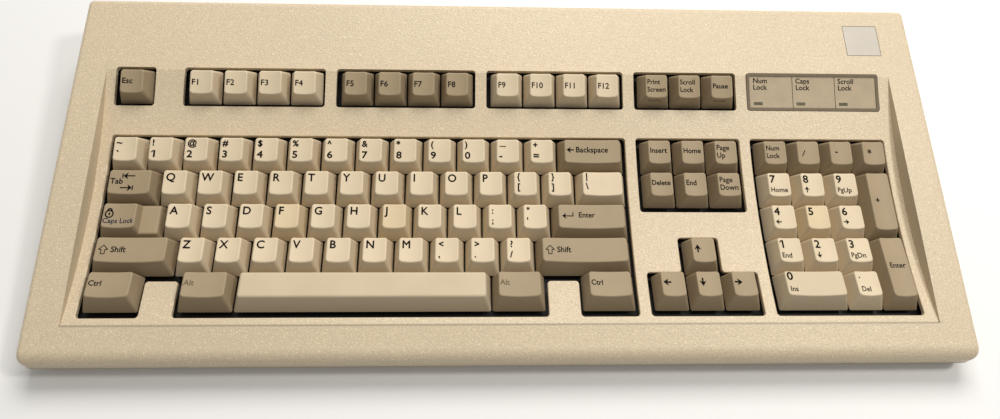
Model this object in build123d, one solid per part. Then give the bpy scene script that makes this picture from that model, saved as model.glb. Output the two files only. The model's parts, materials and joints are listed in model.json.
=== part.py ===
from build123d import *
import math
import os

os.makedirs("parts", exist_ok=True)

# Full-size desktop keyboard with buckling-spring keys.
# Millimetres, +X to the right, +Y to the back, +Z up.
# The origin is under the middle of the case, on the surface that the keyboard stands on.

# ---- Case ----
CASE_WIDTH = 492.0
CASE_DEPTH = 210.0
WALL = 3.0
CORNER_RADIUS = 6.0
DRAFT = 2.0
PAD_HEIGHT = 2.0
FLOOR = 2.4
SEAM = 10.0              # height of the joint between the two shells
LIP_RADIUS = 8.0         # roll along the front edge
BOTTOM_STEP = 2.2        # how far the underside is drawn in from the seam
TONGUE = 1.6             # height of the locating rim inside the seam
TONGUE_ROOT = 2.0        # how far it reaches below the seam
TONGUE_THICK = 1.4
TONGUE_PLAY = 0.6

# ---- Key field: a frame tilted towards the user, with its origin at the home row ----
FIELD_TILT = 4.0
FIELD_Y = -31.5
FIELD_Z = 17.0
ARC_RADIUS = 265.0       # the rows sit on a concave arc of this radius
PITCH = 19.05            # one key unit
FIELD_UNITS = 23.0

# ---- Top surface of the case, in the key-field frame ----
RIM_HEIGHT = 12.0
RIM_SLOPE = 0.0561
RIM_BACK = 128.0
RECESS_HALF = 226.4      # half width of the dished deck at the rim
RECESS_FRONT = -54.5
RECESS_BACK = 85.0
RECESS_SAG = 8.4
RECESS_STEP = 0.7
RECESS_RUNOUT = 3.0      # how far the drum that cuts the deck runs on behind its back edge
RECESS_FLARE = 0.06      # outward lean of the side walls
DECK = 2.6               # thickness of the deck plate
MAIN_GAP = 1.1           # from the key grid to the sides of the main opening
LEFT_GAP = 2.2           # the same for the small openings
RIGHT_GAP = 1.0
FRONT_GAP = 3.3
FUNCTION_GAP = 2.3       # front gap of the function row
BACK_GAP = 1.5
OPENING_RADIUS = 1.8
OPENING_EDGE = 0.6       # rounding along the rim of the large openings

# ---- Key caps, heights from the rim of the cap ----
CAP_HEIGHT = 10.0
CAP_WIDTH = 18.2
CAP_FRONT = -9.5
CAP_BACK = 9.1
TOP_WIDTH = 12.25
TOP_FRONT = -4.1
TOP_BACK = 8.7
BASE_RADIUS = 1.0
TOP_RADIUS = 1.8
CAP_WALL = 1.3
CEILING = 7.2            # clears the barrels over the whole travel
OVERSHOOT = 1.12         # height to which a cap is drawn before its dish is cut
DISH = 0.9
EDGE = 0.8
LOW_STEP = 5.2           # height of the low end of the stepped key
STEM_RADIUS = 3.3
STEM_BORE = 2.45
STEM_FOOT = -4.1

# ---- Layers under the keys, heights from the rim of the cap ----
BARREL_TOP = 2.0
PLATE_TOP = -5.6
PLATE_BOTTOM = -9.0
BLANKET_BOTTOM = -9.8
MEMBRANE_BOTTOM = -10.2
STEEL_BOTTOM = -11.0
BARREL_RADIUS = 4.7
BARREL_BORE = 3.6
HAMMER = (9.0, 6.5, 0.9)
HAMMER_PEG = (1.4, 1.2)  # radius and height of the peg under the spring
HAMMER_LIFT = 0.35       # keeps the flat hammers clear of the curved blanket
PLAY = 0.4
SPRING_RADIUS = 1.9
SPRING_WIRE = 0.22
SPRING_TOP = 3.0
PLATE_HALF = 225.5
RIVET = 1.0
RIVET_TOP = -7.4
RIVET_HEAD = (1.8, 0.5)
POST_RADIUS = 2.0

# Arc length of each row behind the home row.
BOTTOM, LOWER, HOME, UPPER, NUMBER = (PITCH * row for row in (-2, -1, 0, 1, 2))
FUNCTION = NUMBER + PITCH + 20.26
PLATE_FRONT = BOTTOM - 19.0
PLATE_BACK = FUNCTION + 12.0


def row_of(start, count, arc):
    """Single-width keys side by side, each (left edge, width, depth, arc)."""
    return [(start + i, 1, 1, arc) for i in range(count)]


# Every key: node name, then (left edge, width, depth) in key units and its place on the arc.
KEYS = {
    "esc_key": row_of(0, 1, FUNCTION),
    "f1_to_f4_keys": row_of(2, 4, FUNCTION),
    "f5_to_f8_keys": row_of(6.5, 4, FUNCTION),
    "f9_to_f12_keys": row_of(11, 4, FUNCTION),
    "print_scroll_pause_keys": row_of(15.5, 3, FUNCTION),
    "number_row_keys": row_of(0, 13, NUMBER),
    "backspace_key": [(13, 2, 1, NUMBER)],
    "insert_key": row_of(15.5, 1, NUMBER),
    "home_key": row_of(16.5, 1, NUMBER),
    "page_up_key": row_of(17.5, 1, NUMBER),
    "pad_top_row_keys": row_of(19, 4, NUMBER),
    "tab_key": [(0, 1.5, 1, UPPER)],
    "q_row_keys": row_of(1.5, 12, UPPER),
    "backslash_key": [(13.5, 1.5, 1, UPPER)],
    "delete_key": row_of(15.5, 1, UPPER),
    "end_key": row_of(16.5, 1, UPPER),
    "page_down_key": row_of(17.5, 1, UPPER),
    "pad_789_keys": row_of(19, 3, UPPER),
    "pad_plus_key": [(22, 1, 2, (UPPER + HOME) / 2)],
    "caps_lock_key": [(0, 1.75, 1, HOME)],
    "a_row_keys": row_of(1.75, 11, HOME),
    "enter_key": [(12.75, 2.25, 1, HOME)],
    "pad_456_keys": row_of(19, 3, HOME),
    "left_shift_key": [(0, 2.25, 1, LOWER)],
    "z_row_keys": row_of(2.25, 10, LOWER),
    "right_shift_key": [(12.25, 2.75, 1, LOWER)],
    "up_key": row_of(16.5, 1, LOWER),
    "pad_123_keys": row_of(19, 3, LOWER),
    "pad_enter_key": [(22, 1, 2, (LOWER + BOTTOM) / 2)],
    "left_ctrl_key": [(0, 1.5, 1, BOTTOM)],
    "left_alt_key": [(2.5, 1.5, 1, BOTTOM)],
    "space_bar": [(4, 7, 1, BOTTOM)],
    "right_alt_key": [(11, 1.5, 1, BOTTOM)],
    "right_ctrl_key": [(13.5, 1.5, 1, BOTTOM)],
    "left_key": row_of(15.5, 1, BOTTOM),
    "down_key": row_of(16.5, 1, BOTTOM),
    "right_key": row_of(17.5, 1, BOTTOM),
    "pad_zero_key": [(19, 2, 1, BOTTOM)],
    "pad_point_key": row_of(21, 1, BOTTOM),
}
CAPS_RAISED = 1.25       # width of the raised part of the stepped key
LONG_KEY = 7             # width of the space bar, whose top is flat

# Openings in the deck: (left, right, front row, back row); touching ones merge into one hole.
OPENINGS = {
    "esc": [(0, 1, FUNCTION, FUNCTION)],
    "f1": [(2, 6, FUNCTION, FUNCTION)],
    "f5": [(6.5, 10.5, FUNCTION, FUNCTION)],
    "f9": [(11, 15, FUNCTION, FUNCTION)],
    "print": [(15.5, 18.5, FUNCTION, FUNCTION)],
    "lights": [(19, 23, FUNCTION, FUNCTION)],
    "main": [
        (0, 15, LOWER, NUMBER),
        (0, 1.5, BOTTOM, LOWER),
        (2.5, 12.5, BOTTOM, LOWER),
        (13.5, 15, BOTTOM, LOWER),
    ],
    "edit": [(15.5, 18.5, UPPER, NUMBER)],
    "arrows": [(16.5, 17.5, LOWER, LOWER), (15.5, 18.5, BOTTOM, BOTTOM)],
    "pad": [(19, 23, BOTTOM, NUMBER)],
}

# ---- Fittings, in the frame of the whole object ----
SCREWS = [(x, 88.0) for x in (-180.0, -60.0, 60.0, 180.0)]
SCREW_SHELF = 14.0
SCREW_LENGTH = 18.0
SCREW_RADIUS = 1.7
SCREW_HEAD = (4.0, 3.0)
SCREW_WELL = (6.5, 4.8)  # outer and inner radius of the well in the tray
BOSS = (4.5, 36.0)       # radius and top of the boss that a screw bites into
PILOT = (1.8, 33.0)
FOOT_HINGE_X = 221.0
FOOT_HINGE_Z = 7.0
FOOT_Y = 76.0
FOOT_WIDTH = 18.0
FOOT_LENGTH = 19.5
FOOT_THICK = 7.0
FOOT_PIN = 1.9
FOOT_HOLLOW = (9.0, 5.0, 2.0)
POCKET = (199.0, 226.0, 11.0)
POCKET_WALL = 2.0
BOARD_X = (70.0, 168.0)
BOARD_Y = (62.0, 90.0)
BOARD_THICK = 1.6
BOARD_POST = (2.5, 4.0)  # radius, and distance from the edges of the board
SOCKET_X = 120.0
SOCKET = (15.0, 20.0, 13.0)
SOCKET_BACK = 102.0
SOCKET_HOLE = (10.6, 13.0, 8.4)
RIBBON = (36.0, 0.3)
RIBBON_Y = 67.0
RIBBON_SOCKET = 4.0
PAD_PLACES = [(-220.0, -88.0), (220.0, -88.0), (-215.0, 94.0), (215.0, 94.0)]
PAD_RADIUS = 5.0
BADGE = (21.0, 19.7, 0.8)
BADGE_PLACE = (214.9, 108.7)
BADGE_GAP = 0.3
RIB = (1.6, 136.0)
RIB_Y = -18.0
RIB_PLACES = (-170.0, -114.0, -57.0, 0.0, 50.0, 105.0, 170.0)
RIVET_UNITS = (1, 4, 7, 10, 13, 15.25, 18.75, 22)
RIVET_ARCS = [PITCH * rows for rows in (-1.5, -0.5, 0.5, 1.5, 3.03)]
POST_PLACES = [(units, arc) for units in (15.25, 18.75) for arc in (1.2 * PITCH, -0.8 * PITCH)]
POST_PLACES += [(units, 3 * PITCH) for units in (3, 8, 13, 18.75)]

# Chips and the ribbon's socket on the controller board: (x, y, width, depth, height).
BOARD_CHIPS = [
    (90.0, 78.0, 32.0, 13.0, 3.5),
    (150.0, 80.0, 19.0, 6.4, 3.2),
    (SOCKET_X, RIBBON_Y, 44.0, 5.0, RIBBON_SOCKET),
]

# ---- Lock-light panel, heights as for the keys ----
PANEL_TOP = 3.3          # raised frame
PANEL_CELL = 2.8         # flat cells inside the frame
PANEL_SKIN = 1.3
PANEL_FOOT = -1.2
PANEL_FIT = 0.25
PANEL_BORDER = 1.9
PANEL_REACH = 14.0       # half of the depth that the panel is cut from
PANEL_GROOVE = (0.4, 0.3)
LIGHT_BOARD = (70.0, 15.0, -3.6, -2.0)
LIGHT_POSTS = 30.0
LIGHT_PITCH = 4 / 3      # in key units
LIGHT_OFFSET = (-8.0, -6.6)
LIGHT_SIZE = (5.0, 1.6)
LIGHT_TOP = 2.7

# ---- Wire that levels the space bar, in the frame of that key ----
WIRE = 0.7
WIRE_HALF = 2.4 * PITCH
WIRE_HOOK = (5.0, 5.0, 2.4)    # length of the hooks, and where they lie
WIRE_ROD = (-5.7, -4.0)        # where the long rod lies
WIRE_BEND = 1.5

FIELD = Pos(0, FIELD_Y, FIELD_Z) * Rot(FIELD_TILT, 0, 0)
RIM = FIELD * Pos(0, 0, RIM_HEIGHT) * Rot(math.degrees(math.atan(RIM_SLOPE)), 0, 0)


def save(name, *pieces):
    solids = [solid for piece in pieces for solid in piece.solids()]
    shape = solids[0] if len(solids) == 1 else Compound(solids)
    shape.label = name
    export_step(shape, f"parts/{name}.step")


def across(units):
    return (units - FIELD_UNITS / 2) * PITCH


def seat(units, arc):
    """Frame on the key arc, with its height along the key's own travel."""
    turn = arc / ARC_RADIUS
    drop = Pos(across(units), ARC_RADIUS * math.sin(turn), ARC_RADIUS * (1 - math.cos(turn)))
    return FIELD * drop * Rot(math.degrees(turn), 0, 0)


def key_centre(key):
    start, wide, deep, arc = key
    return seat(start + wide / 2, arc)


def tube(radius, low, high):
    return Pos(0, 0, (low + high) / 2) * Cylinder(radius, high - low)


def slab(width, depth, low, high):
    return Pos(0, 0, (low + high) / 2) * Box(width, depth, high - low)


def arc_point(height, arc):
    turn = arc / ARC_RADIUS
    reach = ARC_RADIUS - height
    return (0, reach * math.sin(turn), ARC_RADIUS - reach * math.cos(turn))


def arc_slab(low, high, left, right, front, back):
    """Curved sheet between two heights over the key arc."""
    middle = (front + back) / 2
    lower = ThreePointArc(arc_point(low, front), arc_point(low, middle), arc_point(low, back))
    upper = ThreePointArc(arc_point(high, back), arc_point(high, middle), arc_point(high, front))
    ends = [Line(lower @ 1, upper @ 0), Line(upper @ 1, lower @ 0)]
    face = make_face([lower, ends[0], upper, ends[1]])
    return FIELD * Pos(left, 0, 0) * extrude(face, amount=right - left, dir=(1, 0, 0))


def is_stepped(key):
    return key in KEYS["caps_lock_key"]


def stem_places(key):
    """Where a key has a stem: one in the middle, or two on a key two units long or more."""
    start, wide, deep, arc = key
    if is_stepped(key):
        return [((CAPS_RAISED - wide) / 2 * PITCH, 0)]
    if deep == 2:
        return [(0, -PITCH / 2), (0, PITCH / 2)]
    if 2 <= wide < LONG_KEY:
        return [(-PITCH / 2, 0), (PITCH / 2, 0)]
    return [(0, 0)]


def cap_section(wide, deep, height, inset):
    share = height / CAP_HEIGHT
    width = CAP_WIDTH + (TOP_WIDTH - CAP_WIDTH) * share + (wide - 1) * PITCH - 2 * inset
    front = CAP_FRONT + (TOP_FRONT - CAP_FRONT) * share - (deep - 1) * PITCH / 2 + inset
    back = CAP_BACK + (TOP_BACK - CAP_BACK) * share + (deep - 1) * PITCH / 2 - inset
    radius = max(BASE_RADIUS + (TOP_RADIUS - BASE_RADIUS) * share - inset / 2, 0.4)
    return Pos(0, (front + back) / 2, height) * RectangleRounded(width, back - front, radius)


def cap_block(wide, deep, low, high, inset):
    return loft([cap_section(wide, deep, z, inset) for z in (low, high)], ruled=True)


def dished(block, wide):
    """Cut the finger dish across the cap and round the edge around it."""
    chord = TOP_WIDTH + (wide - 1) * PITCH
    radius = (chord ** 2 / 4 + DISH ** 2) / (2 * DISH)
    block -= Pos(0, 0, CAP_HEIGHT - DISH + radius) * Rot(90, 0, 0) * Cylinder(radius, 4 * PITCH)
    top = block.faces().filter_by(GeomType.CYLINDER).sort_by(SortBy.AREA)[-1]
    return fillet(top.edges(), EDGE)


def flat_top(block):
    top = block.faces().sort_by(Axis.Z)[-1]
    return fillet(top.edges(), 2 * EDGE)


def stem():
    return tube(STEM_RADIUS, STEM_FOOT, CEILING + 0.2)


def dished_cap(wide, deep):
    return dished(cap_block(wide, deep, 0, OVERSHOOT * CAP_HEIGHT, 0), wide)


def key_cap(key):
    start, wide, deep, arc = key
    if is_stepped(key):
        raised = Pos((CAPS_RAISED - wide) / 2 * PITCH, 0, 0)
        cap = flat_top(cap_block(wide, deep, 0, LOW_STEP, 0)) + raised * dished_cap(CAPS_RAISED, deep)
        cap -= cap_block(wide, deep, 0, LOW_STEP - 2 * CAP_WALL, CAP_WALL)
        cap -= raised * cap_block(CAPS_RAISED, deep, 0, CEILING, CAP_WALL)
    elif wide == LONG_KEY:
        cap = flat_top(cap_block(wide, deep, 0, CAP_HEIGHT - DISH / 2, 0))
        cap -= cap_block(wide, deep, 0, CEILING, CAP_WALL)
    else:
        cap = dished_cap(wide, deep) - cap_block(wide, deep, 0, CEILING, CAP_WALL)
    places = [Pos(x, y, 0) for x, y in stem_places(key)]
    cap += [place * stem() for place in places]
    cap -= [place * tube(STEM_BORE, STEM_FOOT - 1, CEILING) for place in places]
    return cap


def key_nodes():
    """One cap is made for each size and set at every place that uses it."""
    made = {}
    for name, keys in KEYS.items():
        placed = []
        for key in keys:
            size = key[1:3]
            if size not in made:
                made[size] = key_cap(key)
            placed.append(key_centre(key) * made[size])
        save(name, *placed)


def every_key():
    return [key for keys in KEYS.values() for key in keys]


def barrel_seats():
    return [key_centre(key) * Pos(x, y, 0) for key in every_key() for x, y in stem_places(key)]


def spring_seats():
    return [key_centre(key) * Pos(*stem_places(key)[0], 0) for key in every_key()]


def rivet_seats():
    return [seat(units, arc) for units in RIVET_UNITS for arc in RIVET_ARCS]


def layer(low, high, half=PLATE_HALF, trim=0.0):
    return arc_slab(low, high, -half, half, PLATE_FRONT + trim, PLATE_BACK - trim)


def drilled(sheet, radius):
    return sheet - [place * tube(radius, STEEL_BOTTOM - 1, PLATE_TOP) for place in rivet_seats()]


def barrel_plate():
    """Curved moulding with a guide barrel for every stem and a pocket for every hammer."""
    plate = layer(PLATE_BOTTOM, PLATE_TOP)
    root = PLATE_TOP - 0.5
    plate += [place * tube(BARREL_RADIUS, root, BARREL_TOP) for place in barrel_seats()]
    posts = [panel_seat(0) * Pos(x, 0, 0) for x in (-LIGHT_POSTS, LIGHT_POSTS)]
    plate += [post * tube(POST_RADIUS, root, LIGHT_BOARD[2]) for post in posts]
    plate -= [place * tube(BARREL_BORE, PLATE_BOTTOM - 1, BARREL_TOP + 1) for place in barrel_seats()]
    width, depth, thick = HAMMER
    pocket = slab(width + 2 * PLAY, depth + 2 * PLAY, PLATE_BOTTOM - 1, PLATE_BOTTOM + thick + PLAY / 2)
    plate -= [place * pocket for place in spring_seats()]
    return plate - [place * tube(RIVET, PLATE_BOTTOM - 1, RIVET_TOP) for place in rivet_seats()]


def hammers():
    width, depth, thick = HAMMER
    radius, height = HAMMER_PEG
    top = PLATE_BOTTOM + thick
    body = slab(width, depth, PLATE_BOTTOM + HAMMER_LIFT, top) + tube(radius, top - thick / 2, top + height)
    return [place * body for place in spring_seats()]


def springs():
    """Close-wound coils, each as a thin sleeve standing on its hammer inside the stem."""
    low = PLATE_BOTTOM + HAMMER[2] + SPRING_WIRE / 10
    sleeve = tube(SPRING_RADIUS + SPRING_WIRE, low, SPRING_TOP)
    sleeve -= tube(SPRING_RADIUS - SPRING_WIRE, low, SPRING_TOP)
    return [place * sleeve for place in spring_seats()]


def rivets():
    radius, thick = RIVET_HEAD
    body = tube(RIVET, STEEL_BOTTOM, RIVET_TOP) + tube(radius, STEEL_BOTTOM - thick, STEEL_BOTTOM)
    return [place * body for place in rivet_seats()]


def rim_height(y):
    return RIM_HEIGHT + RIM_SLOPE * y


def rim_point(y, drop):
    """World (y, z) of a point that far under the case top."""
    point = RIM * Pos(0, y, -drop)
    return (point.position.Y, point.position.Z)


def case_core():
    """Air space inside the case: the sharp-edged body that the shells wrap."""
    back = rim_point(RIM_BACK, WALL)
    front = -CASE_DEPTH / 2 + WALL
    foot = SEAM - 2 * WALL
    under = rim_point(0, WALL)
    slope = (back[1] - under[1]) / (back[0] - under[0])
    lip = (front, under[1] + slope * (front - under[0]))
    rear_top = (back[0] - WALL / 2, back[1] - WALL / 2 * slope)
    corners = [(front, foot), lip, rear_top, (-front, SEAM), (-front, foot)]
    side = make_face(Polyline(*[(0, y, z) for y, z in corners], close=True))
    roll = side.vertices().sort_by_distance((0, *lip))[0]
    side = fillet(roll, LIP_RADIUS - WALL)
    body = extrude(side, amount=CASE_WIDTH / 2, dir=(1, 0, 0), both=True)
    plan = RectangleRounded(CASE_WIDTH - 2 * WALL, CASE_DEPTH - 2 * WALL, CORNER_RADIUS - WALL)
    return body & Pos(0, 0, foot) * extrude(plan, amount=60, taper=DRAFT)


def recess(grow):
    """The dished space over the deck, grown outwards by a wall thickness."""
    front = Vector(0, RECESS_FRONT, rim_height(RECESS_FRONT) - RECESS_STEP)
    back = Vector(0, RECESS_BACK, rim_height(RECESS_BACK))
    chord = (back - front).length
    radius = (chord ** 2 / 4 + RECESS_SAG ** 2) / (2 * RECESS_SAG)
    up = Vector(1, 0, 0).cross(back - front).normalized()
    centre = (front + back) / 2 + up * (radius - RECESS_SAG)
    drum = Pos(centre) * Rot(0, 90, 0) * Cylinder(radius + grow, CASE_WIDTH)
    long = RECESS_BACK + RECESS_RUNOUT - RECESS_FRONT + 2 * grow
    plans = []
    for z in (-10, 30):
        half = RECESS_HALF + grow + (z - RIM_HEIGHT) * RECESS_FLARE
        plans.append(Pos(0, RECESS_FRONT - grow + long / 2, z) * Rectangle(2 * half, long))
    return FIELD * (drum & loft(plans))


def opening_face(name, shrink):
    """Outline of a hole in the deck, in the key-field frame."""
    left_gap, right_gap = (MAIN_GAP, MAIN_GAP) if name == "main" else (LEFT_GAP, RIGHT_GAP)
    face = Sketch()
    for left, right, front_arc, back_arc in OPENINGS[name]:
        front_gap = FUNCTION_GAP if front_arc == FUNCTION else FRONT_GAP
        x0 = across(left) - left_gap + shrink
        x1 = across(right) + right_gap - shrink
        y0 = ARC_RADIUS * math.sin((front_arc + CAP_FRONT) / ARC_RADIUS) - front_gap + shrink
        y1 = ARC_RADIUS * math.sin((back_arc + CAP_BACK) / ARC_RADIUS) + BACK_GAP - shrink
        face += Pos((x0 + x1) / 2, (y0 + y1) / 2) * Rectangle(x1 - x0, y1 - y0)
    return fillet(face.vertices(), max(OPENING_RADIUS - shrink, 0.3))


def opening(name, shrink=0.0):
    return FIELD * Pos(0, 0, -6) * extrude(opening_face(name, shrink), amount=50)


def above(height):
    return slab(2 * CASE_WIDTH, 2 * CASE_DEPTH, height, height + 100)


def upper_case():
    core = case_core()
    skin = offset(core, amount=WALL, kind=Kind.ARC) & above(SEAM)
    case = skin - core
    case += skin & recess(DECK)
    case += [seat(units, arc) * tube(POST_RADIUS, PLATE_TOP, DECK - 1) for units, arc in POST_PLACES]
    case -= recess(0)
    bosses = [Pos(x, y, 0) for x, y in SCREWS]
    case += [boss * tube(BOSS[0], SCREW_SHELF, BOSS[1]) for boss in bosses]
    case -= [boss * tube(PILOT[0], SCREW_SHELF - 1, PILOT[1]) for boss in bosses]
    case -= [opening(name) for name in OPENINGS]
    deck = case.faces().filter_by(GeomType.CYLINDER).sort_by(SortBy.AREA)[-2:].sort_by(Axis.Z)[-1]
    case = fillet([edge for wire in deck.inner_wires() for edge in wire.edges()], OPENING_EDGE)
    width, depth, thick = BADGE
    case -= RIM * Pos(*BADGE_PLACE, 0) * slab(width, depth, -thick, 1)
    socket = slab(SOCKET[0] + PLAY, SOCKET[1], SEAM - 1, SEAM + SOCKET[2] + PLAY / 2)
    return case - Pos(SOCKET_X, SOCKET_BACK, 0) * socket


def foot_pocket(side, wall):
    """Well in the underside that a folding foot lies in, or its walls when they have a thickness."""
    inner, outer, top = POCKET
    low = PAD_HEIGHT if wall else PAD_HEIGHT - 1
    place = Pos(side * (inner + outer) / 2, FOOT_Y, 0)
    return place * slab(outer - inner + 2 * wall, FOOT_WIDTH + 1 + 2 * wall, low, top + wall)


def hinge_line(side, radius, length):
    return Pos(side * FOOT_HINGE_X, FOOT_Y, FOOT_HINGE_Z) * Rot(90, 0, 0) * Cylinder(radius, length)


def lower_shell(inset, low, high):
    """Tray body that narrows towards the underside, drawn in by inset."""
    shapes = []
    for z, step in ((low, BOTTOM_STEP), (high, 0)):
        width = CASE_WIDTH - 2 * (inset + step)
        depth = CASE_DEPTH - 2 * (inset + step)
        shapes.append(Pos(0, 0, z) * RectangleRounded(width, depth, CORNER_RADIUS - inset * 0.8))
    return loft(shapes)


def tongue():
    """Locating rim on the tray, just inside the wall of the upper shell."""
    outlines = []
    for inset in (WALL + TONGUE_PLAY, WALL + TONGUE_PLAY + TONGUE_THICK):
        width = CASE_WIDTH - 2 * inset
        depth = CASE_DEPTH - 2 * inset - TONGUE_PLAY
        outlines.append(RectangleRounded(width, depth, CORNER_RADIUS - inset))
    ring = outlines[0] - outlines[1]
    return Pos(0, 0, SEAM - TONGUE_ROOT) * extrude(ring, amount=TONGUE_ROOT + TONGUE)


def ribs():
    """Walls across the tray that carry the curved steel plate."""
    floor = PAD_HEIGHT + FLOOR
    axis = FIELD * Pos(0, 0, ARC_RADIUS) * Rot(0, 90, 0)
    drum = axis * Cylinder(ARC_RADIUS - STEEL_BOTTOM, CASE_WIDTH)
    thick, long = RIB
    wall = Pos(0, RIB_Y, 0) * slab(thick, long, floor - 0.5, BOSS[1])
    return [Pos(x, 0, 0) * wall - drum for x in RIB_PLACES]


def board_corners():
    radius, inset = BOARD_POST
    return [Pos(x, y, 0) for x in (BOARD_X[0] + inset, BOARD_X[1] - inset)
            for y in (BOARD_Y[0] + inset, BOARD_Y[1] - inset)]


def lower_case():
    floor = PAD_HEIGHT + FLOOR
    tray = lower_shell(0, PAD_HEIGHT, SEAM) - lower_shell(WALL, floor, SEAM)
    tray += tongue()
    tray += ribs()
    tray += [foot_pocket(side, POCKET_WALL) for side in (-1, 1)]
    tray -= [foot_pocket(side, 0) for side in (-1, 1)]
    tray -= [hinge_line(side, FOOT_PIN + 0.2, FOOT_WIDTH + 4) for side in (-1, 1)]
    wells = [Pos(x, y, 0) for x, y in SCREWS]
    outer, inner = SCREW_WELL
    tray += [well * tube(outer, PAD_HEIGHT, SCREW_SHELF) for well in wells]
    tray -= [well * tube(inner, PAD_HEIGHT - 1, SCREW_SHELF - 2) for well in wells]
    tray -= [well * tube(SCREW_RADIUS + PLAY, PAD_HEIGHT, SCREW_SHELF + 1) for well in wells]
    post = tube(BOARD_POST[0], floor - 0.5, SEAM - BOARD_THICK)
    tray += [corner * post for corner in board_corners()]
    socket_gap = slab(SOCKET[0] + PLAY, SOCKET[1] / 2, SEAM, SEAM + 2 * TONGUE)
    return tray - Pos(SOCKET_X, SOCKET_BACK, 0) * socket_gap


def case_screws():
    """Hexagon screws, with their heads up the wells in the tray."""
    radius, height = SCREW_HEAD
    seat_height = SCREW_SHELF - 2
    head = Pos(0, 0, seat_height - height) * extrude(RegularPolygon(radius, 6), amount=height)
    body = head + tube(SCREW_RADIUS, seat_height - height / 2, seat_height + SCREW_LENGTH)
    return [Pos(x, y, 0) * body for x, y in SCREWS]


def foot(side):
    """Folding foot, lying flat in its pocket, with its tip towards the middle."""
    half = FOOT_THICK / 2
    bar = slab(FOOT_LENGTH, FOOT_WIDTH, -half, half)
    bar = fillet(bar.edges().filter_by(Axis.Y).group_by(Axis.X)[0], half / 2)
    knuckle = Rot(90, 0, 0) * Cylinder(half, FOOT_WIDTH)
    pins = Rot(90, 0, 0) * Cylinder(FOOT_PIN, FOOT_WIDTH + 2 * POCKET_WALL - PLAY)
    body = Pos(-FOOT_LENGTH / 2, 0, 0) * bar + knuckle + pins
    short, narrow, skin = FOOT_HOLLOW
    hollow = slab(FOOT_LENGTH - short, FOOT_WIDTH - narrow, -half - 1, half - skin)
    body -= Pos(-FOOT_LENGTH / 2 - 1, 0, 0) * hollow
    if side < 0:
        body = mirror(body, Plane.YZ)
    return Pos(side * FOOT_HINGE_X, FOOT_Y, FOOT_HINGE_Z) * body


def panel_seat(step):
    """Places along the middle of the lock-light panel, counted in cells from its middle one."""
    left, right, front_arc, back_arc = OPENINGS["lights"][0]
    return seat((left + right) / 2 + step * LIGHT_PITCH, FUNCTION)


def light_places():
    return [panel_seat(step) * Pos(*LIGHT_OFFSET, 0) for step in (-1, 0, 1)]


def panel_band(low, high):
    left, right, front_arc, back_arc = OPENINGS["lights"][0]
    edges = across(left - 0.5), across(right + 0.5)
    return arc_slab(low, high, *edges, FUNCTION - PANEL_REACH, FUNCTION + PANEL_REACH)


def lock_light_panel():
    """Plate beside the function keys: a raised frame around three flat cells."""
    panel = opening("lights", PANEL_FIT) & panel_band(PANEL_FOOT, PANEL_TOP)
    panel -= opening("lights", PANEL_BORDER) & panel_band(PANEL_CELL, PANEL_TOP + 3)
    panel -= opening("lights", PANEL_BORDER) & panel_band(PANEL_FOOT - 1, PANEL_CELL - PANEL_SKIN)
    width, depth = PANEL_GROOVE
    groove = slab(width, PITCH, PANEL_CELL - depth, PANEL_TOP + 3)
    panel -= [panel_seat(step) * groove for step in (-0.5, 0.5)]
    length, breadth = LIGHT_SIZE
    window = slab(length + PLAY / 2, breadth + PLAY / 2, 0, PANEL_TOP + 3)
    return panel - [place * window for place in light_places()]


def lock_lights():
    length, breadth = LIGHT_SIZE
    return [place * slab(length, breadth, LIGHT_BOARD[3], LIGHT_TOP) for place in light_places()]


def lock_light_board():
    width, depth, low, high = LIGHT_BOARD
    return panel_seat(0) * slab(width, depth, low, high)


def badge_plate():
    width, depth, thick = BADGE
    plate = slab(width - 2 * BADGE_GAP, depth - 2 * BADGE_GAP, -thick, 0)
    return RIM * Pos(*BADGE_PLACE, 0) * plate


def controller_board():
    x0, x1 = BOARD_X
    y0, y1 = BOARD_Y
    board = Pos((x0 + x1) / 2, (y0 + y1) / 2, 0) * slab(x1 - x0, y1 - y0, SEAM - BOARD_THICK, SEAM)
    for x, y, width, depth, height in BOARD_CHIPS:
        board += Pos(x, y, 0) * slab(width, depth, SEAM - 0.1, SEAM + height)
    return board


def cable_socket():
    width, depth, height = SOCKET
    hole_width, hole_depth, hole_height = SOCKET_HOLE
    body = Pos(0, -depth / 2, 0) * slab(width, depth, 0, height)
    lift = (height - hole_height) / 2
    body -= Pos(0, -hole_depth / 2, 0) * slab(hole_width, hole_depth, lift, lift + hole_height)
    return Pos(SOCKET_X, SOCKET_BACK, SEAM) * body


def ribbon_cable():
    """Flat tail from the back edge of the membrane down to the controller board."""
    width, thick = RIBBON
    start = FIELD * Pos(*arc_point((BLANKET_BOTTOM + MEMBRANE_BOTTOM) / 2, PLATE_BACK))
    y0, z0 = start.position.Y, start.position.Z
    turn = math.radians(FIELD_TILT) + PLATE_BACK / ARC_RADIUS
    y1, z1 = y0 + 5 * math.cos(turn), z0 + 5 * math.sin(turn)
    points = [(0, y0, z0), (0, y1, z1), (0, RIBBON_Y, z1 - 6), (0, RIBBON_Y, SEAM + RIBBON_SOCKET)]
    path = FilletPolyline(*points, radius=2)
    strip = Plane(path @ 0, x_dir=(1, 0, 0), z_dir=path % 0) * Rectangle(width, thick)
    return Pos(SOCKET_X, 0, 0) * sweep(strip, path)


def rubber_pads():
    return [Pos(x, y, 0) * tube(PAD_RADIUS, 0, PAD_HEIGHT) for x, y in PAD_PLACES]


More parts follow.
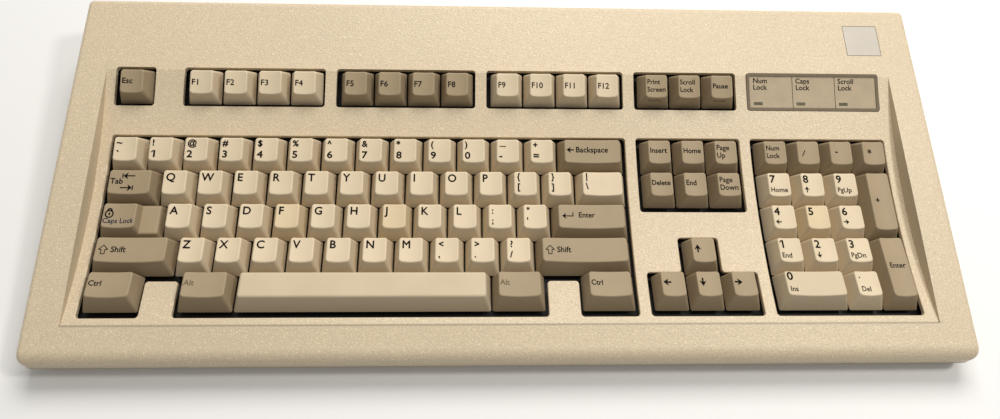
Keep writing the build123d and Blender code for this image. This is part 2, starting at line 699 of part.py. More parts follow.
def space_bar_stabiliser():
    """Wire that keeps the long key level: a rod along the plate with two cranked ends."""
    hook, y_hook, z_hook = WIRE_HOOK
    y_rod, z_rod = WIRE_ROD
    left = [(hook - WIRE_HALF, y_hook, z_hook), (-WIRE_HALF, y_hook, z_hook), (-WIRE_HALF, y_rod, z_rod)]
    right = [(-x, y, z) for x, y, z in reversed(left)]
    path = FilletPolyline(*left, *right, radius=WIRE_BEND)
    wire = sweep(Plane(path @ 0, z_dir=path % 0) * Circle(WIRE), path)
    return key_centre(KEYS["space_bar"][0]) * wire


key_nodes()
save("upper_case", upper_case())
save("lower_case", lower_case())
save("barrel_plate", barrel_plate())
save("hammers", *hammers())
save("buckling_springs", *springs())
save("rubber_blanket", drilled(layer(BLANKET_BOTTOM, PLATE_BOTTOM), RIVET))
save("membrane", drilled(layer(MEMBRANE_BOTTOM, BLANKET_BOTTOM), RIVET))
save("steel_backplate", drilled(layer(STEEL_BOTTOM, MEMBRANE_BOTTOM), RIVET))
save("plate_rivets", *rivets())
save("case_screws", *case_screws())
save("left_foot", foot(-1))
save("right_foot", foot(1))
save("lock_light_panel", lock_light_panel())
save("lock_lights", *lock_lights())
save("lock_light_board", lock_light_board())
save("badge_plate", badge_plate())
save("controller_board", controller_board())
save("cable_socket", cable_socket())
save("ribbon_cable", ribbon_cable())
save("rubber_pads", *rubber_pads())
save("space_bar_stabiliser", space_bar_stabiliser())
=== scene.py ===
import json
import math

import bmesh
import bpy
from mathutils import Euler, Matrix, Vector
from mathutils.bvhtree import BVHTree


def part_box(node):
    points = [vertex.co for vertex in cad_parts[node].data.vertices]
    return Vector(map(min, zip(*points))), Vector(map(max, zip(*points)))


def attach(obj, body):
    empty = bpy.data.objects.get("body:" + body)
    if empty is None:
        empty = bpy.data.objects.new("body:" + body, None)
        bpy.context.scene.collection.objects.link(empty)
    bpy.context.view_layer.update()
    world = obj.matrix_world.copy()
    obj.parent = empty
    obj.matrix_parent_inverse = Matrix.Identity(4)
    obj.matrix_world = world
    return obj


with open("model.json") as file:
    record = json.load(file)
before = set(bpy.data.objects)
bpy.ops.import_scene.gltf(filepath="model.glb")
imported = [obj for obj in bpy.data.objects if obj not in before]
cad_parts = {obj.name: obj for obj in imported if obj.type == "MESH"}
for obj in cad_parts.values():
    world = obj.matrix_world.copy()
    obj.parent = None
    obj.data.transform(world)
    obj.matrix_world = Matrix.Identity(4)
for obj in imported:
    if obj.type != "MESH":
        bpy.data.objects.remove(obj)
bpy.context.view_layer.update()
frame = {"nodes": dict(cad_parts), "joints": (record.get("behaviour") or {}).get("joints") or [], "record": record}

MM = 0.001
ROOT = "case"            # the body that everything else is joined to

# ---- Camera ----
CAMERA_PLACE = Vector((-30.4, -168.1, 417.6)) * MM
CAMERA_TURN = Euler([math.radians(a) for a in (28.37, -2.52, -0.76)])
CAMERA_LENS = 27.23
CAMERA_SHIFT = (0.0121, -0.112)

# ---- Key caps, in millimetres ----
PITCH = 19.05
TOP_SIDE = 2.98          # from the side of a cap's rim to the side of its top
TOP_BACK = 8.7           # from a cap's middle to the back edge of its top
CAP_FRONT = 9.5          # from the front of a cap's foot to the cap's middle
CAP_DEPTH = 18.6         # of a cap that is one unit deep
CAP_SLACK = 0.1          # how far past its sides a cap still owns a face
RAY_START = 10           # how far above the highest cap the search for a mark's place starts

# ---- Ink, in millimetres ----
INK_DEPTH = 0.07         # half the thickness of a mark
INK_LIFT = 0.02          # from the cap up to the middle of a mark
INK_STEP = 0.8           # longest side of a drawn stroke, so that it can follow a dished top
COPY_STEP = 0.004        # height between the shifted copies that thicken a letter
ARROW_NOTCH = 0.72       # depth of an arrow head along its middle, as a share of the head

# ---- Low step in front of the deck, in millimetres ----
STEP_Y = -86.5
STEP_Z = 22.0            # height of the case at the step
STEP_HALF = 226.0        # half the width of the step
STEP_SHADE_REACH = 0.9          # how far the painted shade and dust reach from the step
STEP_FADE = 1            # distance over which the painted shade and dust end at the sides and below

# ---- Lock-light panel and cable socket, in millimetres ----
CELL_PITCH = 4 * PITCH / 3
CELL_SIDE = 1.95         # from the side of the panel to its first cell
CELL_LINE = 0.25         # half the width of a line between two cells
FRAME_BORDER = 1.68
CONTACTS = 6
CONTACT = (0.8, 9.0, 0.35)    # width, length and thickness of one contact

# ---- Stage, in metres and watts ----
FLOOR_HALF = 3.0
WORLD_COLOR = (1, 0.99, 0.97, 1)
WORLD_STRENGTH = 0.3
LIGHT_COLOR = (1, 0.97, 0.93)
LIGHTS = {               # place, the point that it faces, sides, power
    "top_light": ((0.16, 0.95, 1.3), (0, 0, 0), (1.1, 0.7), 19.5),
    "glint_light": ((0.58, 0.05, 0.95), (0.1, -0.03, 0), (0.14, 0.14), 3.3),
}


def linear(value):
    share = value / 255
    return ((share + 0.055) / 1.055) ** 2.4 if share > 0.04 else share / 12.92


def srgb(red, green, blue):
    """Linear colour of a display colour given from 0 to 255."""
    return (linear(red), linear(green), linear(blue), 1)


CREAM = srgb(223, 205, 174)
CAP_LIGHT = srgb(227, 209, 178)
CAP_WARM = srgb(224, 204, 167)
# Painted shade: the light cap colour made darker for the flat tops of the long keys, which catch more light.
CAP_LONG_SHADED = srgb(212, 195, 165)
CAP_DARK = srgb(171, 152, 122)
# Brown of the panel's frame, darkened partly with painted shade of the gap around the panel.
SHADED_FRAME_BROWN = srgb(112, 97, 72)
PANEL = srgb(182, 164, 134)
INK = srgb(16, 14, 12)
INK_BLUE = srgb(44, 50, 66)
INK_FADED = srgb(118, 104, 82)
BLACK = srgb(22, 21, 20)


# ---- Materials ----

class Shader:
    """A small helper that builds one node material around a Principled shader."""

    def __init__(self, name, color, roughness, metallic=0.0, specular=0.5):
        self.material = bpy.data.materials.new(name)
        self.material.use_nodes = True
        self.tree = self.material.node_tree
        self.surface = self.tree.nodes["Principled BSDF"]
        self.surface.inputs["Base Color"].default_value = color
        self.surface.inputs["Roughness"].default_value = roughness
        self.surface.inputs["Metallic"].default_value = metallic
        self.surface.inputs["Specular IOR Level"].default_value = specular
        self.place = self.tree.nodes.new("ShaderNodeTexCoord").outputs["Object"]
        self.bumped = None

    def node(self, kind, **values):
        node = self.tree.nodes.new(kind)
        for key, value in values.items():
            setattr(node, key, value)
        return node

    def link(self, source, target):
        self.tree.links.new(source, target)

    def noise(self, scale, detail=2.0, rough=0.5):
        node = self.node("ShaderNodeTexNoise")
        self.link(self.place, node.inputs["Vector"])
        node.inputs["Scale"].default_value = scale
        node.inputs["Detail"].default_value = detail
        node.inputs["Roughness"].default_value = rough
        return node.outputs["Fac"]

    def cells(self, scale):
        node = self.node("ShaderNodeTexVoronoi")
        self.link(self.place, node.inputs["Vector"])
        node.inputs["Scale"].default_value = scale
        return node.outputs["Distance"]

    def remap(self, source, low, high, out_low, out_high):
        node = self.node("ShaderNodeMapRange")
        self.link(source, node.inputs["Value"])
        limits = {"From Min": low, "From Max": high, "To Min": out_low, "To Max": out_high}
        for key, value in limits.items():
            node.inputs[key].default_value = value
        return node.outputs["Result"]

    def mix(self, factor, first, second):
        node = self.node("ShaderNodeMix", data_type="RGBA")
        self.link(factor, node.inputs["Factor"])
        for socket, value in ((node.inputs[6], first), (node.inputs[7], second)):
            if isinstance(value, tuple):
                socket.default_value = value
            else:
                self.link(value, socket)
        return node.outputs[2]

    def color(self, source):
        self.link(source, self.surface.inputs["Base Color"])

    def rough(self, source):
        self.link(source, self.surface.inputs["Roughness"])

    def bump(self, source, strength, depth):
        node = self.node("ShaderNodeBump")
        node.inputs["Strength"].default_value = strength
        node.inputs["Distance"].default_value = depth * MM
        self.link(source, node.inputs["Height"])
        if self.bumped:
            self.link(self.bumped, node.inputs["Normal"])
        self.bumped = node.outputs["Normal"]
        self.link(self.bumped, self.surface.inputs["Normal"])

    def away(self, source, place):
        """Distance of a value from a fixed one."""
        less = self.node("ShaderNodeMath", operation="SUBTRACT")
        self.link(source, less.inputs[0])
        less.inputs[1].default_value = place
        size = self.node("ShaderNodeMath", operation="ABSOLUTE")
        self.link(less.outputs[0], size.inputs[0])
        return size.outputs[0]

    def times(self, first, second):
        node = self.node("ShaderNodeMath", operation="MULTIPLY")
        self.link(first, node.inputs[0])
        self.link(second, node.inputs[1])
        return node.outputs[0]

    def upward(self):
        """How far the surface faces up, from -1 to 1."""
        split = self.node("ShaderNodeSeparateXYZ")
        self.link(self.node("ShaderNodeNewGeometry").outputs["Normal"], split.inputs["Vector"])
        return split.outputs["Z"]


def shade(color, factor):
    """A colour made darker or lighter by a factor."""
    return tuple(c * factor for c in color[:3]) + (1,)


def step_shade_and_dust(look):
    """Painted shade and dust along the foot of the low step in front of the keys, on the top of the case only."""
    split = look.node("ShaderNodeSeparateXYZ")
    look.link(look.place, split.inputs["Vector"])
    masks = [
        look.remap(look.away(split.outputs["Y"], STEP_Y * MM), 0, STEP_SHADE_REACH * MM, 1, 0),
        look.remap(look.away(split.outputs["X"], 0), STEP_HALF * MM, (STEP_HALF + STEP_FADE) * MM, 1, 0),
        look.remap(split.outputs["Z"], (STEP_Z - 2 * STEP_FADE) * MM, (STEP_Z - STEP_FADE) * MM, 0, 1),
    ]
    return look.times(look.times(masks[0], masks[1]), masks[2])


def case_plastic():
    """Cream moulding with a pebbled spatter grain that catches the light; its bright specks are painted glints,
    faces that turn from the top carry painted shade, and painted shade and dust run along the low step.
    """
    look = Shader("case_plastic", CREAM, 0.5)
    broad = look.noise(9, 3)
    specks = look.noise(950, 3, 0.6)
    tint = look.mix(look.remap(broad, 0.3, 0.7, 0, 1), shade(CREAM, 0.95), shade(CREAM, 1.03))
    spotted = look.mix(look.remap(specks, 0.38, 0.62, 0, 1), shade(CREAM, 0.88), tint)
    # Small bright specks at 1.3 times the cream: painted glints on the grain.
    with_painted_glints = look.mix(look.remap(look.noise(1500, 1), 0.62, 0.69, 0, 1), spotted, shade(CREAM, 1.3))
    # Painted shade: faces that turn away from the top are painted darker, down to 0.72 of the cream.
    lit = look.remap(look.upward(), -0.2, 0.75, 0, 1)
    sides = look.mix(lit, shade(CREAM, 0.72), with_painted_glints)
    # Painted shade and dust along the foot of the low step, at half the cream.
    look.color(look.mix(step_shade_and_dust(look), sides, shade(CREAM, 0.5)))
    look.rough(look.remap(look.noise(1400, 2), 0.3, 0.7, 0.22, 0.6))
    look.bump(look.noise(1300, 2, 0.6), 0.8, 0.24)
    look.bump(look.cells(900), 0.35, 0.16)
    return look.material


def cap_plastic(name, color, shade_and_grime=0.84):
    """Sublimated key plastic: satin, polished on top by fingers, darker down its sides with painted shade and some
    grime.
    """
    look = Shader(name, color, 0.45, specular=0.3)
    broad = look.noise(60, 3)
    tint = look.mix(look.remap(broad, 0.3, 0.7, 0, 1), shade(color, 0.96), shade(color, 1.03))
    # Painted shade with some grime: the cap darkens where its faces turn away from the top.
    up = look.remap(look.upward(), 0.55, 0.93, 0, 1)
    look.color(look.mix(up, shade(color, shade_and_grime), tint))
    look.rough(look.remap(look.upward(), 0.5, 1.0, 0.62, 0.54))
    look.bump(look.noise(1800, 2, 0.6), 0.35, 0.08)
    return look.material


def plain_plastic(name, color, roughness, grain=1200, depth=0.08):
    """Lightly mottled moulding with a fine grain."""
    look = Shader(name, color, roughness)
    look.color(look.mix(look.noise(140, 4), shade(color, 0.85), shade(color, 1.12)))
    look.rough(look.remap(look.noise(grain), 0.3, 0.7, roughness - 0.08, roughness + 0.1))
    look.bump(look.noise(grain, 3), 0.4, depth)
    return look.material


def metal(name, color, roughness, along=(1, 40, 40), shine=1.0):
    """Rolled or brushed metal, with streaks along one direction."""
    look = Shader(name, color, roughness, metallic=shine)
    stretch = look.node("ShaderNodeMapping")
    look.link(look.place, stretch.inputs["Vector"])
    stretch.inputs["Scale"].default_value = along
    streaks = look.node("ShaderNodeTexNoise")
    look.link(stretch.outputs["Vector"], streaks.inputs["Vector"])
    streaks.inputs["Scale"].default_value = 120
    look.rough(look.remap(streaks.outputs["Fac"], 0.3, 0.7, roughness - 0.08, roughness + 0.12))
    look.color(look.mix(look.noise(45, 4), shade(color, 0.85), shade(color, 1.1)))
    look.bump(streaks.outputs["Fac"], 0.3, 0.02)
    return look.material


def rubber(name):
    """Dull black rubber."""
    look = Shader(name, BLACK, 0.75, specular=0.35)
    look.color(look.mix(look.noise(300, 4), srgb(24, 23, 22), srgb(44, 42, 40)))
    look.bump(look.noise(900, 3), 0.4, 0.1)
    return look.material


def laminate(name, color):
    """Circuit board or printed film with faint tracks under the surface."""
    look = Shader(name, color, 0.35)
    grid = look.node("ShaderNodeTexBrick")
    look.link(look.place, grid.inputs["Vector"])
    grid.inputs["Scale"].default_value = 120
    grid.inputs["Color1"].default_value = shade(color, 1.1)
    grid.inputs["Color2"].default_value = shade(color, 0.85)
    grid.inputs["Mortar"].default_value = shade(color, 1.9)
    grid.inputs["Mortar Size"].default_value = 0.06
    look.color(grid.outputs["Color"])
    look.bump(grid.outputs["Fac"], 0.2, 0.05)
    return look.material


def ink(name, color):
    """Matt printed ink."""
    look = Shader(name, color, 0.8, specular=0.1)
    look.color(look.mix(look.noise(1500, 2), shade(color, 0.85), shade(color, 1.25)))
    return look.material


KEY_WARM = cap_plastic("key_warm", CAP_WARM)
KEY_LONG_SHADED = cap_plastic("key_long_shaded", CAP_LONG_SHADED)
PANEL_FRAME = plain_plastic("panel_frame", SHADED_FRAME_BROWN, 0.5)
GOLD = metal("contact_gold", srgb(226, 186, 104), 0.25)
INKS = {
    "ink": ink("legend_ink", INK),
    "blue": ink("blue_ink", INK_BLUE),
    "faded": ink("faded_ink", INK_FADED),
}
LOOKS = {
    "case_plastic": case_plastic(),
    "key_light": cap_plastic("key_light", CAP_LIGHT),
    "key_dark": cap_plastic("key_dark", CAP_DARK),
    "inner_plastic": plain_plastic("inner_plastic", BLACK, 0.55),
    "spring_steel": metal("spring_steel", srgb(176, 176, 178), 0.3, (40, 40, 1)),
    "blanket_rubber": rubber("blanket_rubber"),
    "membrane_film": laminate("membrane_film", srgb(150, 152, 140)),
    "plate_steel": metal("plate_steel", srgb(168, 168, 170), 0.38),
    "screw_steel": metal("screw_steel", srgb(150, 150, 150), 0.35),
    "panel_plastic": plain_plastic("panel_plastic", PANEL, 0.48),
    "light_window": plain_plastic("light_window", srgb(92, 88, 62), 0.22, 500, 0.02),
    "board_laminate": laminate("board_laminate", srgb(44, 92, 56)),
    "badge_metal": metal("badge_metal", srgb(190, 183, 172), 0.5, (60, 1, 60), shine=0.5),
    "socket_plastic": plain_plastic("socket_plastic", BLACK, 0.5),
    "pad_rubber": rubber("pad_rubber"),
    "foot_plastic": plain_plastic("foot_plastic", srgb(88, 80, 68), 0.52),
}


def dress_nodes():
    """Every CAD node takes the look of its own slot; the long light keys take a darker copy, painted shade for
    their flat tops, which catch more light.
    """
    for row in frame["record"]["subparts"]:
        node = frame["nodes"][row["node"]]
        node.data.materials.clear()
        node.data.materials.append(LOOKS[row["material_slot"]])
    for name in LONG_KEYS:
        frame["nodes"][name].data.materials[0] = KEY_LONG_SHADED


def tint_faces(node, material, chosen):
    """Gives a second material to the faces of a CAD node that the test picks."""
    mesh = frame["nodes"][node].data
    mesh.materials.append(material)
    for face in mesh.polygons:
        if chosen(face.center):
            face.material_index = len(mesh.materials) - 1


# ---- Places on the keys ----

class KeyRun:
    """The keys of one node, or the cells of the panel: their shared slope, and where each one is."""

    def __init__(self, node, count, like=None, pitch=PITCH, side=TOP_SIDE):
        joint = next(j for j in frame["joints"] if j["child"] == (like or node))
        mesh = frame["nodes"][node].data
        self.up = -Vector(joint["axis"]).normalized()
        self.right = Vector((1, 0, 0))
        self.back = self.up.cross(self.right)
        corners = [v.co for v in mesh.vertices]
        self.tree = BVHTree.FromPolygons(corners, [p.vertices for p in mesh.polygons])
        reach = [v.co.dot(self.back) for v in mesh.vertices]
        self.front = min(reach)
        self.rear = max(reach)
        self.top = max(v.co.dot(self.up) for v in mesh.vertices)
        low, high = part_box(node)
        self.ends = (low.x, high.x)
        self.width = high.x - low.x - (count - 1) * pitch * MM
        self.side = side
        self.starts = [low.x + i * pitch * MM for i in range(count)]

    def point(self, index, across, back, lift):
        """World place on a cap: across from the left side of its top, back from its middle."""
        x = self.starts[index] + (self.side + across) * MM
        reach = self.front + (CAP_FRONT + back) * MM
        above = self.right * x + self.back * reach + self.up * (self.top + RAY_START * MM)
        hit = self.tree.ray_cast(above, -self.up)[0]
        return (hit or above - self.up * RAY_START * MM) + self.up * lift * MM

    def deep(self):
        """Extra depth of a key that is two units deep, in millimetres."""
        return (self.rear - self.front) / MM - CAP_DEPTH

    def holds(self, index, place):
        """Whether a place on the node belongs to one of its keys."""
        start = self.starts[index]
        return start - CAP_SLACK * MM < place.x < start + self.width + CAP_SLACK * MM

    def in_border(self, place, border):
        """Whether a place on the node lies within a border around its plan."""
        reach = place.dot(self.back)
        sides = (place.x - self.ends[0], self.ends[1] - place.x, reach - self.front, self.rear - reach)
        return min(sides) < border * MM


def text_mesh(text, size, bold, stretch=1.0):
    """Letters as thin closed plates, in millimetres, with their start at the left of the baseline.

    Shifted copies thicken the strokes and keep the corners of the letters.
    """
    curve = bpy.data.curves.new("words", "FONT")
    curve.body = text
    curve.size = size
    curve.extrude = INK_DEPTH
    curve.resolution_u = 3
    holder = bpy.data.objects.new("holder", curve)
    plain = bpy.data.meshes.new_from_object(holder)
    bpy.data.objects.remove(holder)
    bpy.data.curves.remove(curve)
    letters = bmesh.new()
    for step, (x, y) in enumerate(((-bold, 0), (bold, 0), (0, bold), (0, -bold))):
        before = len(letters.verts)
        letters.from_mesh(plain)
        letters.verts.ensure_lookup_table()
        for vert in letters.verts[before:]:
            vert.co.x *= stretch
            vert.co += Vector((x, y, COPY_STEP * step))
    letters.to_mesh(plain)
    letters.free()
    return plain


def shape_mesh(outlines):
    """Flat filled outlines, in millimetres, as thin closed plates."""
    verts, faces = [], []
    for outline in outlines:
        count, first = len(outline), len(verts)
        verts += [(x, y, z) for z in (-INK_DEPTH, INK_DEPTH) for x, y in outline]
        faces.append(range(first, first + count))
        faces.append(range(first + count, first + 2 * count))
        for i in range(count):
            after = (i + 1) % count
            faces.append((first + i, first + after, first + count + after, first + count + i))
    mesh = bpy.data.meshes.new("shape")
    mesh.from_pydata(verts, [], [tuple(face) for face in faces])
    return mesh


def stepped(start, end):
    """Points from one place to just before another, no further apart than the longest side allows."""
    length = math.dist(start, end)
    count = max(1, math.ceil(length / INK_STEP))
    return [tuple(a + (b - a) * i / count for a, b in zip(start, end)) for i in range(count)]


def bar(start, end, width):
    """A straight stroke as an outline."""
    line = Vector((end[0] - start[0], end[1] - start[1]))
    side = Vector((-line.y, line.x)).normalized() * width / 2
    left = [(x + side.x, y + side.y) for x, y in (start, end)]
    right = [(x - side.x, y - side.y) for x, y in (end, start)]
    return stepped(*left) + [left[1]] + stepped(*right) + [right[1]]


def turned(outlines, quarter):
    """Outlines turned by quarter turns about the origin."""
    cos, sin = [(1, 0), (0, 1), (-1, 0), (0, -1)][quarter % 4]
    return [[(x * cos - y * sin, x * sin + y * cos) for x, y in line] for line in outlines]


def arrow(quarter, length, head, stroke, spread=0.75):
    """Arrow with a solid head, pointing right at quarter 0, up at 1, left at 2 and down at 3.

    Spread is half the head's width as a share of its length.
    """
    tip = length / 2
    notch = tip - head * ARROW_NOTCH
    halves = [[(tip, 0), (tip - head, side * head * spread), (notch, 0)] for side in (1, -1)]
    return turned(halves + [bar((-tip, 0), (notch, 0), stroke)], quarter)


def shift_arrow(size):
    """Broad upward arrow drawn as an outline."""
    half, neck, foot, stroke = size / 2, size / 5, -size / 2, size * 0.085
    right = [(0, half), (half, 0), (neck, 0), (neck, foot)]
    path = right + [(-x, y) for x, y in reversed(right)]
    return [bar(a, b, stroke) for a, b in zip(path, path[1:])]


def moved(outlines, x, y):
    """Outlines shifted in their plane."""
    return [[(px + x, py + y) for px, py in line] for line in outlines]


def ring(radius, x, y, start, end, steps=20):
    """Points along a circular arc about a middle."""
    turns = [start + (end - start) * i / steps for i in range(steps + 1)]
    return [(x + radius * math.cos(a), y + radius * math.sin(a)) for a in turns]


def padlock(size):
    """Round padlock with a shackle and a keyhole."""
    body = ring(size * 0.36, 0, -size * 0.1, 0, 2 * math.pi)
    shackle = ring(size * 0.2, 0, size * 0.25, 0, math.pi)
    strokes = [bar(a, b, size * 0.13) for path in (body, shackle) for a, b in zip(path, path[1:])]
    return strokes + [bar((0, -size * 0.22), (0, size * 0.04), size * 0.15)]


def words(text, across, down, size, bold=0.11, tone="ink", stretch=1.0, lean=1.0):
    """Lettering; lean shortens it in plan, so that it has its full height on a cap's front."""
    return {"words": (text, size, bold, stretch), "at": (across, down), "tone": tone, "lean": lean}


def drawn(outlines, across, down, tone="ink"):
    """Outlines as a mark."""
    return {"shape": outlines, "at": (across, down), "tone": tone, "lean": 1.0}


def mark_mesh(mark):
    return text_mesh(*mark["words"]) if "words" in mark else shape_mesh(mark["shape"])


# Sizes are type sizes in millimetres; places are across from the left edge of the cap's top and down
# from its back edge.

LONG_DASH = drawn([bar((0, 0), (3.6, 0), 0.45)], 1.5, 4.0)


def digit_mark(digit, across, down, size):
    """A digit; the plain stroke that stands for 1 is given its flag."""
    marks = [words(digit, across, down, size, 0.15, stretch=1.15)]
    if digit == "1":
        flag = bar((0, -0.2 * size), (0.2 * size, 0), 0.1 * size)
        marks.append(drawn([flag], across, down - 0.68 * size))
    return marks


def letter(text):
    return [words(text, 1.3, 5.8, 6.0, 0.14)]


def two_marks(high, low):
    """A sign above a digit or another sign."""
    upper = LONG_DASH if high == "_" else words(high, 1.2, 4.7, 4.8, 0.16)
    return [upper] + digit_mark(low, 1.2, 11.1, 5.4)


def punctuation(high, low, down=5.2):
    return [words(high, 1.6, down, 4.9, 0.15), words(low, 1.6, down + 5.6, 4.9, 0.15)]


def name_mark(text, down=7.1, size=4.1, across=0.7, tone="ink"):
    return [words(text, across, down, size, 0.07, tone)]


def two_lines(first, second, across=0.7, down=5.3, step=4.4, size=3.95):
    return [words(line, across, down + i * step, size, 0.05) for i, line in enumerate((first, second))]


def front_note(text):
    """Small faded word on the sloping front of a cap."""
    return words(text, 1.6, 14.9, 3.0, 0.04, "faded", 1.1, 0.48)


def pad_digit(digit, note="", down=5.5, indent=0.8):
    """A digit of the number pad, with the name of its other use below it."""
    marks = digit_mark(digit, 0.8, down, 6.0)
    return marks + ([words(note, indent, 10.9, 3.9, 0.05)] if note else [])


def pad_arrow(digit, quarter):
    return digit_mark(digit, 0.8, 5.5, 6.0) + [drawn(arrow(quarter, 3.4, 2.0, 0.6), 2.6, 9.4)]


def big_arrow(quarter):
    return [drawn(arrow(quarter, 4.4, 2.9, 0.85, 0.66), 3.0, 5.8)]


def function_keys(first):
    """The names of four function keys in a row."""
    return [name_mark(f"F{number}", 8.2, 4.6) for number in range(first, first + 4)]


TAB_ARROWS = [
    drawn(moved(arrow(2, 6.2, 2.5, 0.6), 10.2, 0) + [bar((6.8, -1.3), (6.8, 1.3), 0.55)], 0, 3.2),
    drawn(moved(arrow(0, 6.2, 2.5, 0.6), 9.3, 0) + [bar((12.7, -1.3), (12.7, 1.3), 0.55)], 0, 9.8),
]
SHIFT_MARKS = [drawn(shift_arrow(4.6), 4.0, 6.6)] + name_mark("Shift", 7.9, 4.3, 7.7)
ENTER_ARROW = drawn(arrow(2, 6.0, 2.2, 0.5) + [bar((3.0, -0.25), (3.0, 2.0), 0.5)], 4.9, 6.4)
BACK_ARROW = drawn(arrow(2, 4.2, 2.4, 0.7), 3.2, 5.8)
PAD_SLASH = drawn([bar((-0.9, -1.7), (0.9, 1.7), 0.5)], 3.6, 6.9)
CTRL_MARK = name_mark("Ctrl", 7.2, 3.9)
ALT_MARK = name_mark("Alt", tone="faded")

LEGENDS = {
    "esc_key": [name_mark("Esc", 7.7, 4.3)],
    "f1_to_f4_keys": function_keys(1),
    "f5_to_f8_keys": function_keys(5),
    "f9_to_f12_keys": function_keys(9),
    "print_scroll_pause_keys": [
        two_lines("Print", "Screen") + [front_note("SysRq")],
        two_lines("Scroll", "Lock"),
        name_mark("Pause", 7.4, 3.95) + [front_note("Break")],
    ],
    "number_row_keys": [two_marks(h, l) for h, l in zip("~!@#$%^&*()_+", "`1234567890-=")],
    "backspace_key": [[BACK_ARROW] + name_mark("Backspace", 7.1, 4.45, 6.2)],
    "insert_key": [name_mark("Insert", size=4.2)],
    "home_key": [name_mark("Home", size=4.0)],
    "page_up_key": [two_lines("Page", "Up", size=4.2)],
    "delete_key": [name_mark("Delete", size=3.9, across=0.4)],
    "end_key": [name_mark("End", size=4.2)],
    "page_down_key": [two_lines("Page", "Down", size=4.2)],
    "pad_top_row_keys": [
        two_lines("Num", "Lock"),
        [PAD_SLASH],
        [words("-", 2.8, 7.4, 5.6)],
        [words("*", 2.8, 8.4, 5.6)],
    ],
    "tab_key": [name_mark("Tab", 7.6, 4.3) + TAB_ARROWS],
    "q_row_keys": [letter(c) for c in "QWERTYUIOP"] + [punctuation(h, l, 4.4) for h, l in ("{[", "}]")],
    "backslash_key": [punctuation("|", "\\", 4.0)],
    "pad_789_keys": [pad_digit("7", "Home"), pad_arrow("8", 1), pad_digit("9", "PgUp")],
    "pad_plus_key": [[words("+", 2.6, 17.3, 4.8, 0.09)]],
    "caps_lock_key": [
        [drawn(padlock(5.2), 3.2, 5.3), words("Caps Lock", 0.4, 10.7, 3.75, 0.05, "blue")],
    ],
    "a_row_keys": [letter(c) for c in "ASDFGHJKL"] + [punctuation(":", ";"), punctuation("\"", "'")],
    "enter_key": [[ENTER_ARROW] + name_mark("Enter", across=10.9)],
    "pad_456_keys": [pad_arrow("4", 2), pad_digit("5"), pad_arrow("6", 0)],
    "left_shift_key": [SHIFT_MARKS],
    "z_row_keys": [letter(c) for c in "ZXCVBNM"] + [punctuation(h, l) for h, l in zip("<>?", ",./")],
    "right_shift_key": [SHIFT_MARKS],
    "up_key": [big_arrow(1)],
    "pad_123_keys": [pad_digit("1", "End"), pad_arrow("2", 3), pad_digit("3", "PgDn")],
    "pad_enter_key": [[words("Enter", 1.6, 16.8, 4.0, 0.05)]],
    "left_ctrl_key": [CTRL_MARK],
    "left_alt_key": [ALT_MARK],
    "right_alt_key": [ALT_MARK],
    "right_ctrl_key": [CTRL_MARK],
    "left_key": [big_arrow(2)],
    "down_key": [big_arrow(3)],
    "right_key": [big_arrow(0)],
    "pad_zero_key": [pad_digit("0", "Ins", 4.8, 1.3)],
    "pad_point_key": [[words(".", 1.6, 3.8, 5.0, 0.12), words("Del", 1.7, 10.9, 3.8, 0.04)]],
}
LONG_KEYS = ("space_bar", "pad_zero_key")
WARM_KEYS = {"a_row_keys": (3, 6), "pad_456_keys": (1,)}    # caps that have yellowed more
PANEL_WORDS = [two_lines(lock, "Lock", 1.9, 5.4, 3.9, 4.2) for lock in ("Num", "Caps", "Scroll")]


def print_legends(node, run, rows, body):
    """All the marks of one node, laid on it as one thin piece that moves with its body."""
    joined = bmesh.new()
    tones = []
    for index, marks in enumerate(rows):
        for mark in marks:
            lay_mark(joined, run, index, mark, tones)
    bmesh.ops.triangulate(joined, faces=joined.faces)
    bmesh.ops.recalc_face_normals(joined, faces=joined.faces)
    mesh = bpy.data.meshes.new("legends_" + node)
    joined.to_mesh(mesh)
    joined.free()
    for tone in tones:
        mesh.materials.append(INKS[tone])
    piece = bpy.data.objects.new("legends_" + node, mesh)
    bpy.context.scene.collection.objects.link(piece)
    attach(piece, body)


def lay_mark(joined, run, index, mark, tones):
    """Adds one mark to a node's piece, and its ink to the piece's list of inks."""
    across, down = mark["at"]
    start = TOP_BACK - down + run.deep()
    if mark["tone"] not in tones:
        tones.append(mark["tone"])
    mesh = mark_mesh(mark)
    verts_before = len(joined.verts)
    faces_before = len(joined.faces)
    joined.from_mesh(mesh)
    bpy.data.meshes.remove(mesh)
    joined.verts.ensure_lookup_table()
    joined.faces.ensure_lookup_table()
    for vert in joined.verts[verts_before:]:
        x, y, z = vert.co
        vert.co = run.point(index, across + x, start + y * mark["lean"], z + INK_LIFT)
    for face in joined.faces[faces_before:]:
        face.material_index = tones.index(mark["tone"])


def finish_keys():
    """The legends of every key, and the warmer plastic of a few caps."""
    for node, rows in LEGENDS.items():
        run = KeyRun(node, len(rows))
        print_legends(node, run, rows, node)
        for index in WARM_KEYS.get(node, ()):
            tint_faces(node, KEY_WARM, lambda place: run.holds(index, place))


def finish_panel():
    """The lock-light panel: a darker frame, partly painted shade of the gap around it, and lines around its cells,
    and a name in each.
    """
    node = "lock_light_panel"
    run = KeyRun(node, 3, "print_scroll_pause_keys", CELL_PITCH, CELL_SIDE)
    plan = KeyRun(node, 3, "a_row_keys")
    lines = [start + CELL_SIDE * MM for start in run.starts[1:]]
    tint_faces(node, PANEL_FRAME, lambda place: plan.in_border(place, FRAME_BORDER)
               or min(abs(place.x - line) for line in lines) < CELL_LINE * MM)
    print_legends(node, run, PANEL_WORDS, ROOT)


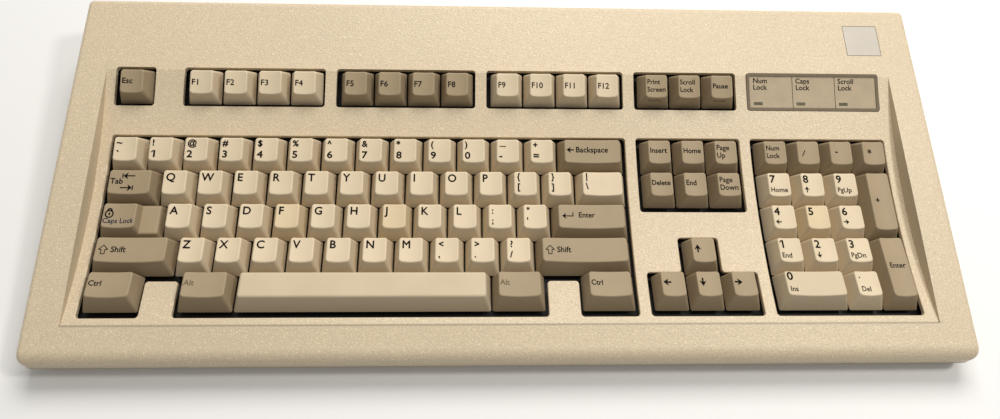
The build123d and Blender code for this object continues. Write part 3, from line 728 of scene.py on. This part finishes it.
def socket_contacts():
    """Row of flat spring contacts on the floor of the cable socket's hole."""
    row = next(o for o in frame["record"]["physics"]["openings"] if o["name"] == "cable_socket_cavity")
    low, high = (Vector(corner) for corner in row["box_m"])
    width, length, thick = (size * MM for size in CONTACT)
    verts, faces = [], []
    for i in range(CONTACTS):
        middle = low.x + (high.x - low.x) * (i + 0.5) / CONTACTS
        first = len(verts)
        verts += [(middle + x, low.y + y, low.z + z) for z in (-thick, 0) for x, y in
                  ((-width / 2, 0), (width / 2, 0), (width / 2, length), (-width / 2, length))]
        faces += [tuple(first + k for k in side) for side in
                  ((3, 2, 1, 0), (4, 5, 6, 7), (0, 1, 5, 4), (1, 2, 6, 5), (2, 3, 7, 6), (3, 0, 4, 7))]
    mesh = bpy.data.meshes.new("socket_contacts")
    mesh.from_pydata(verts, [], faces)
    mesh.materials.append(GOLD)
    piece = bpy.data.objects.new("socket_contacts", mesh)
    bpy.context.scene.collection.objects.link(piece)
    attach(piece, ROOT)


# ---- Stage, light and camera ----

def floor():
    mesh = bpy.data.meshes.new("floor")
    half = FLOOR_HALF
    corners = [(-half, -half, 0), (half, -half, 0), (half, half, 0), (-half, half, 0)]
    mesh.from_pydata(corners, [], [(0, 1, 2, 3)])
    look = Shader("floor", (0.93, 0.93, 0.92, 1), 0.8, specular=0.2)
    look.color(look.mix(look.noise(3), (0.92, 0.92, 0.91, 1), (0.94, 0.94, 0.93, 1)))
    mesh.materials.append(look.material)
    piece = bpy.data.objects.new("floor", mesh)
    bpy.context.scene.collection.objects.link(piece)


def area_light(name, place, target, size, power):
    data = bpy.data.lights.new(name, "AREA")
    data.shape = "RECTANGLE"
    data.size, data.size_y = size
    data.energy = power
    data.color = LIGHT_COLOR
    light = bpy.data.objects.new(name, data)
    light.location = place
    light.rotation_euler = (Vector(target) - Vector(place)).to_track_quat("-Z", "Y").to_euler()
    bpy.context.scene.collection.objects.link(light)


def studio():
    world = bpy.data.worlds.new("studio")
    world.use_nodes = True
    world.node_tree.nodes["Background"].inputs["Color"].default_value = WORLD_COLOR
    world.node_tree.nodes["Background"].inputs["Strength"].default_value = WORLD_STRENGTH
    bpy.context.scene.world = world
    for name, values in LIGHTS.items():
        area_light(name, *values)
    bpy.context.scene.view_settings.view_transform = "Standard"


def camera():
    data = bpy.data.cameras.new("camera")
    data.lens = CAMERA_LENS
    data.shift_x, data.shift_y = CAMERA_SHIFT
    data.clip_start = 0.01
    view = bpy.data.objects.new("camera", data)
    view.location = CAMERA_PLACE
    view.rotation_euler = CAMERA_TURN
    bpy.context.scene.collection.objects.link(view)
    bpy.context.scene.camera = view


camera()
studio()
floor()
dress_nodes()
finish_keys()
finish_panel()
socket_contacts()
